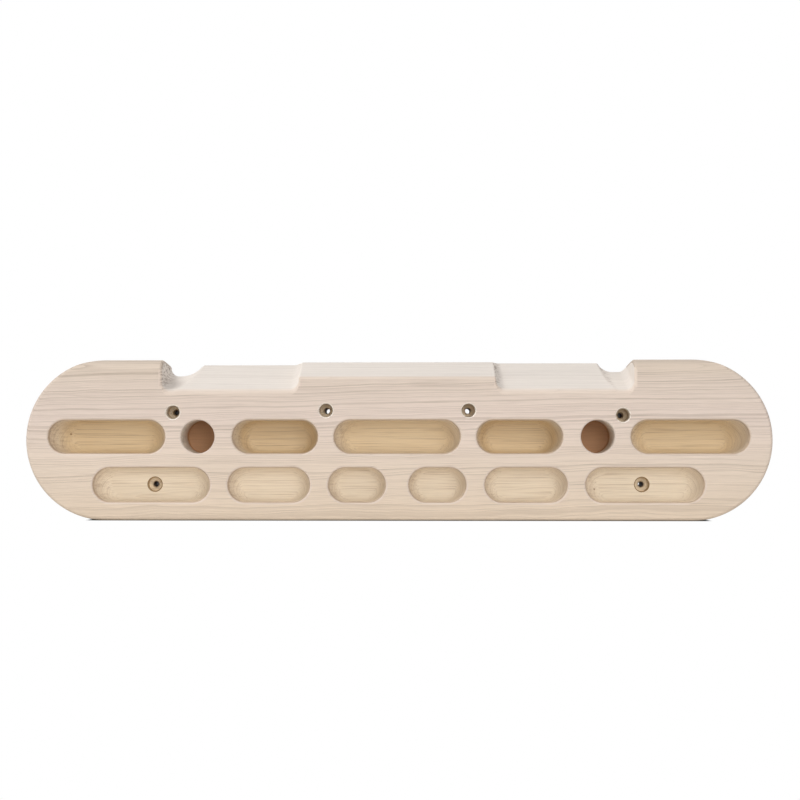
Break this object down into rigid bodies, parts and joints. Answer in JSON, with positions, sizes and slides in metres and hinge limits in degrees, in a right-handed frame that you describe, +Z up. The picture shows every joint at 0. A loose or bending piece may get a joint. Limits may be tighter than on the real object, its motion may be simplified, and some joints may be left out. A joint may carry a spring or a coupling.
{
  "type": "hangboard",
  "caption": "Pale wooden hangboard with half-round ends: rows of finger pockets, round holes, jugs, slopers, a ridge with a stand slot, and counterbored screw holes.",
  "frame": {"origin": "centre of the flat resting face, midway along the board and midway through it", "axes": "+X along the board to the right as the climber sees it, -Y out of the face with the holds, +Y into the wall, +Z up"},
  "size_m": [0.6, 0.055, 0.13],
  "materials": {
    "front_wood": "sanded and unvarnished pale hardwood, fine straight grain",
    "back_wood": "sanded and unvarnished pale hardwood, fine straight grain"
  },
  "bodies": {
    "root": {"front_plank": "front_wood", "back_plank": "back_wood"}
  },
  "joints": []
}
